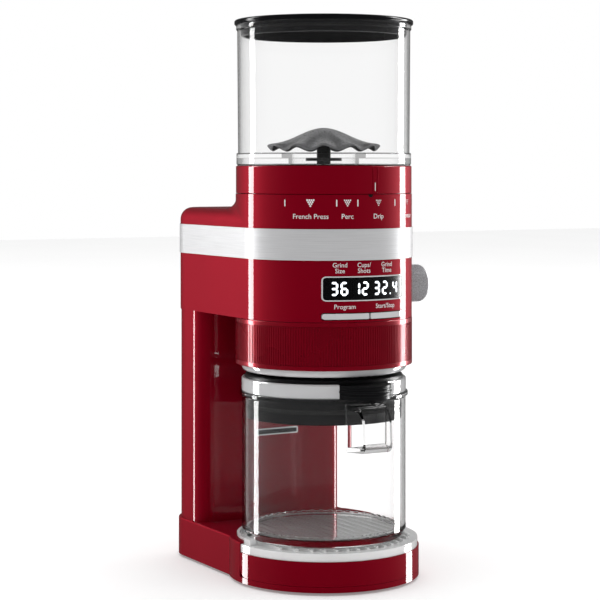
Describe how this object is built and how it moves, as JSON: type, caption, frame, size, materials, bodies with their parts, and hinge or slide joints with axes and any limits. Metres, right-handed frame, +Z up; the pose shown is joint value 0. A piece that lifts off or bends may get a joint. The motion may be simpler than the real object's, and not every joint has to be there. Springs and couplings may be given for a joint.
{
  "type": "burr coffee grinder",
  "caption": "Upright burr coffee grinder: round drum head with clear bean hopper on a rear column, and a lidded glass jar on a pull-out tray.",
  "frame": {"origin": "centre of the footprint box, on the surface that the grinder stands on", "axes": "+Z up, -Y to the front (display and jar handle), +X to the side with the knob"},
  "size_m": [0.151, 0.2036, 0.3997],
  "materials": {
    "red_paint": "deep red gloss paint",
    "red_rib": "gloss red moulding",
    "brushed_band": "brushed",
    "chrome": "polished",
    "silver_plastic": "satin",
    "black_plastic": "fine matte",
    "display_glass": "gloss black",
    "clear_plastic": "clear",
    "jar_glass": "clear glass",
    "smoked_lid": "smoked gloss",
    "grey_moulding": "satin grey",
    "rubber": "matt",
    "burr_steel": "ground",
    "gear_nylon": "natural",
    "cast_alloy": "as cast",
    "circuit_board": "solder mask",
    "motor_steel": "zinc plated",
    "brass": "machined"
  },
  "bodies": {
    "machine": {"base_housing": "red_paint", "base_plate": "black_plastic", "rubber_feet": "rubber", "case_screws": "motor_steel", "cable_gland": "rubber", "column_housing": "red_paint", "rear_cover": "red_paint", "dock_panel": "red_paint", "dock_slot_frame": "chrome", "head_lower_shell": "red_paint", "metal_band": "brushed_band", "head_upper_shell": "red_paint", "display_bezel": "chrome", "display_lens": "display_glass", "display_board": "circuit_board", "tact_switches": "black_plastic", "ribbed_ring": "red_rib", "outlet_ring": "chrome", "grind_chute": "black_plastic", "gear_plate": "cast_alloy", "gearbox_cover": "cast_alloy", "shaft_bearings": "brass", "grind_chamber": "cast_alloy", "motor_can": "motor_steel", "motor_end_plate": "motor_steel", "main_board": "circuit_board", "knob_encoder": "motor_steel", "idler_pin": "burr_steel", "collar_track": "black_plastic"},
    "collar": {"grind_collar": "red_paint", "adjuster_ring": "black_plastic"},
    "upper_burr": {"ring_burr": "burr_steel", "burr_carrier": "black_plastic"},
    "bayonet": {"bayonet_ring": "black_plastic"},
    "bean_hopper": {"hopper": "clear_plastic", "hopper_base": "clear_plastic", "hopper_seal": "rubber", "bean_cone": "grey_moulding", "cone_stem": "black_plastic"},
    "gate": {"gate_disc": "black_plastic"},
    "lid": {"hopper_lid": "smoked_lid", "hopper_lid_seal": "rubber"},
    "burr_spindle": {"drive_shaft": "burr_steel", "main_gear": "gear_nylon", "sweeper": "black_plastic", "cone_burr": "burr_steel", "burr_nut": "burr_steel"},
    "idler": {"idler_gear": "gear_nylon"},
    "motor_rotor": {"motor_shaft": "burr_steel", "motor_armature": "motor_steel", "motor_pinion": "brass"},
    "program_key": {"program_button": "silver_plastic"},
    "start_stop_key": {"start_stop_button": "silver_plastic"},
    "side_knob": {"knob": "silver_plastic"},
    "tray_drawer": {"tray": "chrome", "tray_skirt": "red_paint"},
    "container": {"jar": "jar_glass"},
    "container_cap": {"container_lid": "black_plastic", "container_lid_band": "chrome", "container_lid_seal": "rubber"}
  },
  "joints": [
    {"name": "collar_turn", "type": "hinge", "parent": "machine", "child": "collar", "pos_m": [-0.007, -0.026, 0.285], "axis": [0, 0, 1], "range_deg": [-58.2, 52.3]},
    {"name": "upper_burr_lift", "type": "slide", "parent": "machine", "child": "upper_burr", "axis": [0, 0, 1], "range_m": [-0.00106, 0.00118]},
    {"name": "hopper_twist", "type": "hinge", "parent": "collar", "child": "bayonet", "pos_m": [-0.007, -0.026, 0.288], "axis": [0, 0, 1], "range_deg": [0, 28]},
    {"name": "hopper_lift", "type": "slide", "parent": "bayonet", "child": "bean_hopper", "axis": [0, 0, 1], "range_m": [0, 0.13]},
    {"name": "gate_turn", "type": "hinge", "parent": "bean_hopper", "child": "gate", "pos_m": [-0.007, -0.026, 0.287], "axis": [0, 0, 1], "range_deg": [-28.1, 0]},
    {"name": "hopper_lid_lift", "type": "slide", "parent": "bean_hopper", "child": "lid", "axis": [0, 0, 1], "range_m": [0, 0.08]},
    {"name": "burr_spin", "type": "hinge", "parent": "machine", "child": "burr_spindle", "pos_m": [-0.007, -0.026, 0.24], "axis": [0, 0, 1], "continuous": true},
    {"name": "idler_spin", "type": "hinge", "parent": "machine", "child": "idler", "pos_m": [-0.007, 0.0285, 0.2], "axis": [0, 0, 1], "continuous": true},
    {"name": "motor_spin", "type": "hinge", "parent": "machine", "child": "motor_rotor", "pos_m": [-0.007, 0.062, 0.2], "axis": [0, 0, 1], "continuous": true},
    {"name": "program_press", "type": "slide", "parent": "machine", "child": "program_key", "axis": [0, 1, 0], "range_m": [0, 0.0012], "stiffness_N_per_m": 600},
    {"name": "start_stop_press", "type": "slide", "parent": "machine", "child": "start_stop_key", "axis": [0, 1, 0], "range_m": [0, 0.0012], "stiffness_N_per_m": 600},
    {"name": "knob_turn", "type": "hinge", "parent": "machine", "child": "side_knob", "pos_m": [0.063, -0.026, 0.208], "axis": [1, 0, 0], "continuous": true},
    {"name": "tray_slide", "type": "slide", "parent": "machine", "child": "tray_drawer", "axis": [0, -1, 0], "range_m": [0, 0.14]},
    {"name": "container_slide", "type": "slide", "parent": "tray_drawer", "child": "container", "axis": [0, -1, 0], "range_m": [0, 0.16]},
    {"name": "container_lid_twist", "type": "hinge", "parent": "container", "child": "container_cap", "pos_m": [-0.007, -0.026, 0.135], "axis": [0, 0, 1], "range_deg": [-75, 75]}
  ],
  "couplings": [
    {"joint": "upper_burr_lift", "follows": "collar_turn", "m_per_rad": -0.0011459},
    {"joint": "gate_turn", "follows": "hopper_twist", "ratio": -1},
    {"joint": "idler_spin", "follows": "burr_spin", "ratio": -1.0566},
    {"joint": "motor_spin", "follows": "burr_spin", "ratio": 4}
  ]
}
